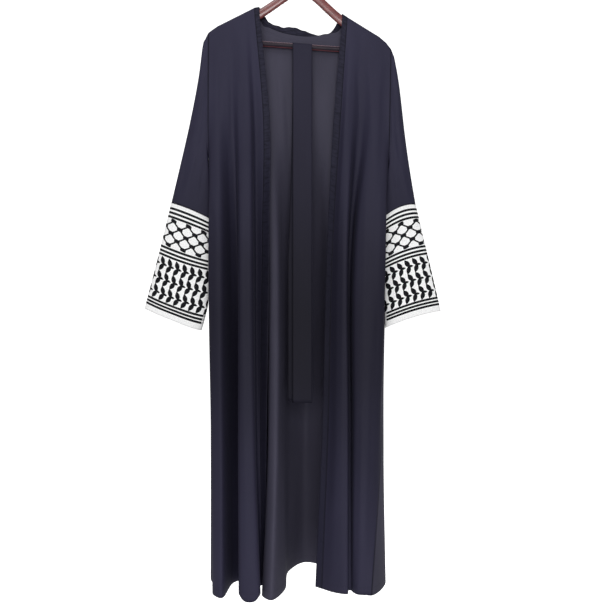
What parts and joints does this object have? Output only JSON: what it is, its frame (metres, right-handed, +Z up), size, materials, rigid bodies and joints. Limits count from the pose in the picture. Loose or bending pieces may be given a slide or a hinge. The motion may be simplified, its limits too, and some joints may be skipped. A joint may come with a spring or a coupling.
{
  "type": "open-front abaya on a wooden hanger",
  "caption": "Long open-front abaya with wide patterned cuffs, hung on a wooden hanger with its sash folded over the trouser bar.",
  "frame": {"origin": "inner top of the hanger's hook, where a rail carries it", "axes": "+Z up, -Y out of the garment's front, +X to the right of someone who faces the front"},
  "size_m": [0.705, 0.2677, 1.5209],
  "materials": {
    "abaya_crepe": "soft black crepe with a faint violet cast",
    "band_crepe": "doubled black crepe band, stitched",
    "cuff_cotton": "white cotton with a black woven keffiyeh pattern",
    "sash_crepe": "doubled black crepe",
    "hanger_wood": "varnished reddish mahogany",
    "hook_steel": "polished steel wire"
  },
  "bodies": {
    "root": {"back_panel": "abaya_crepe", "front_left": "abaya_crepe", "front_right": "abaya_crepe", "front_band_left": "band_crepe", "front_band_right": "band_crepe", "neck_band": "band_crepe", "sleeve_left": "abaya_crepe", "sleeve_right": "abaya_crepe", "cuff_left": "cuff_cotton", "cuff_right": "cuff_cotton", "sash": "sash_crepe", "hanger_arms": "hanger_wood", "trouser_bar": "hanger_wood", "hook": "hook_steel"}
  },
  "joints": []
}
